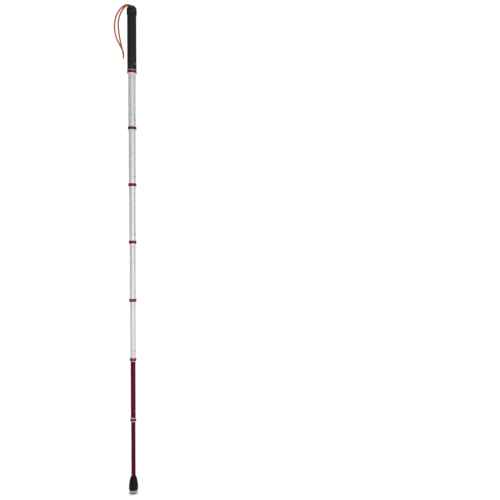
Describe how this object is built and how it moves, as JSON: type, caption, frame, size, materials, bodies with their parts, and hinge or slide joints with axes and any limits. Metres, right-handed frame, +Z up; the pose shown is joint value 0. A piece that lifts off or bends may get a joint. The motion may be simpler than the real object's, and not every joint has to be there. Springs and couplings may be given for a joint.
{
  "type": "telescopic white cane",
  "caption": "Telescopic white cane: a rubber-gripped handle with a wrist cord, and sliding tubes held by snap buttons above a rubber and steel tip.",
  "frame": {"origin": "centre of the tip's foot, where the cane meets the ground", "axes": "+Z up along the cane towards the handle; the snap buttons face -Y; the cane is pulled out, with each snap button pressed in just far enough to let its section slide"},
  "size_m": [0.0498, 0.0451, 1.3044],
  "materials": {
    "white_enamel": "gloss",
    "wine_red_film": "gloss",
    "red_band": "satin",
    "white_nylon": "satin",
    "black_rubber": "matte",
    "aluminium": "satin",
    "steel": "satin",
    "orange_cord": "matte"
  },
  "bodies": {
    "handle": {"handle_tube": "aluminium", "grip_sleeve": "black_rubber", "grip_cap": "black_rubber", "cord_anchor": "white_nylon", "wrist_cord": "orange_cord", "handle_collar": "white_nylon", "handle_band": "red_band"},
    "section_1": {"section_1_tube": "white_enamel", "section_1_plug": "white_nylon", "section_1_spring": "steel", "section_1_collar": "white_nylon", "section_1_band": "red_band"},
    "section_2": {"section_2_tube": "white_enamel", "section_2_plug": "white_nylon", "section_2_spring": "steel", "section_2_collar": "white_nylon", "section_2_band": "red_band"},
    "section_3": {"section_3_tube": "white_enamel", "section_3_plug": "white_nylon", "section_3_spring": "steel", "section_3_collar": "white_nylon", "section_3_band": "red_band"},
    "section_4": {"section_4_tube": "white_enamel", "section_4_plug": "white_nylon", "section_4_spring": "steel", "section_4_collar": "white_nylon", "section_4_band": "red_band"},
    "section_5": {"section_5_tube": "white_enamel", "section_5_plug": "white_nylon", "section_5_spring": "steel", "section_5_collar": "white_nylon", "section_5_band": "red_band"},
    "section_6": {"section_6_tube": "wine_red_film", "section_6_plug": "white_nylon", "section_6_spring": "steel", "section_6_collar": "white_nylon", "section_6_band": "red_band"},
    "section_7": {"section_7_tube": "wine_red_film", "section_7_plug": "white_nylon", "section_7_spring": "steel", "tip_boot": "black_rubber", "tip_glide": "steel", "tip_insert": "white_nylon"},
    "button_1": {"section_1_button": "steel"},
    "button_2": {"section_2_button": "steel"},
    "button_3": {"section_3_button": "steel"},
    "button_4": {"section_4_button": "steel"},
    "button_5": {"section_5_button": "steel"},
    "button_6": {"section_6_button": "steel"},
    "button_7": {"section_7_button": "steel"}
  },
  "joints": [
    {"name": "section_1_slide", "type": "slide", "parent": "handle", "child": "section_1", "axis": [0, 0, 1], "range_m": [0, 0.1395]},
    {"name": "section_2_slide", "type": "slide", "parent": "section_1", "child": "section_2", "axis": [0, 0, 1], "range_m": [0, 0.1404]},
    {"name": "section_3_slide", "type": "slide", "parent": "section_2", "child": "section_3", "axis": [0, 0, 1], "range_m": [0, 0.1418]},
    {"name": "section_4_slide", "type": "slide", "parent": "section_3", "child": "section_4", "axis": [0, 0, 1], "range_m": [0, 0.1444]},
    {"name": "section_5_slide", "type": "slide", "parent": "section_4", "child": "section_5", "axis": [0, 0, 1], "range_m": [0, 0.1472]},
    {"name": "section_6_slide", "type": "slide", "parent": "section_5", "child": "section_6", "axis": [0, 0, 1], "range_m": [0, 0.15]},
    {"name": "section_7_slide", "type": "slide", "parent": "section_6", "child": "section_7", "axis": [0, 0, 1], "range_m": [0, 0.1454]},
    {"name": "button_1_press", "type": "slide", "parent": "section_1", "child": "button_1", "axis": [0, 1, 0], "range_m": [-0.00125, 0.00035], "stiffness_N_per_m": 400, "springref_m": -0.003, "deforming": ["section_1_spring"]},
    {"name": "button_2_press", "type": "slide", "parent": "section_2", "child": "button_2", "axis": [0, 1, 0], "range_m": [-0.00125, 0.00035], "stiffness_N_per_m": 400, "springref_m": -0.003, "deforming": ["section_2_spring"]},
    {"name": "button_3_press", "type": "slide", "parent": "section_3", "child": "button_3", "axis": [0, 1, 0], "range_m": [-0.00125, 0.00035], "stiffness_N_per_m": 400, "springref_m": -0.003, "deforming": ["section_3_spring"]},
    {"name": "button_4_press", "type": "slide", "parent": "section_4", "child": "button_4", "axis": [0, 1, 0], "range_m": [-0.00125, 0.00035], "stiffness_N_per_m": 400, "springref_m": -0.003, "deforming": ["section_4_spring"]},
    {"name": "button_5_press", "type": "slide", "parent": "section_5", "child": "button_5", "axis": [0, 1, 0], "range_m": [-0.00125, 0.00035], "stiffness_N_per_m": 400, "springref_m": -0.003, "deforming": ["section_5_spring"]},
    {"name": "button_6_press", "type": "slide", "parent": "section_6", "child": "button_6", "axis": [0, 1, 0], "range_m": [-0.00125, 0.00035], "stiffness_N_per_m": 400, "springref_m": -0.003, "deforming": ["section_6_spring"]},
    {"name": "button_7_press", "type": "slide", "parent": "section_7", "child": "button_7", "axis": [0, 1, 0], "range_m": [-0.00125, 0.00035], "stiffness_N_per_m": 400, "springref_m": -0.003, "deforming": ["section_7_spring"]}
  ]
}
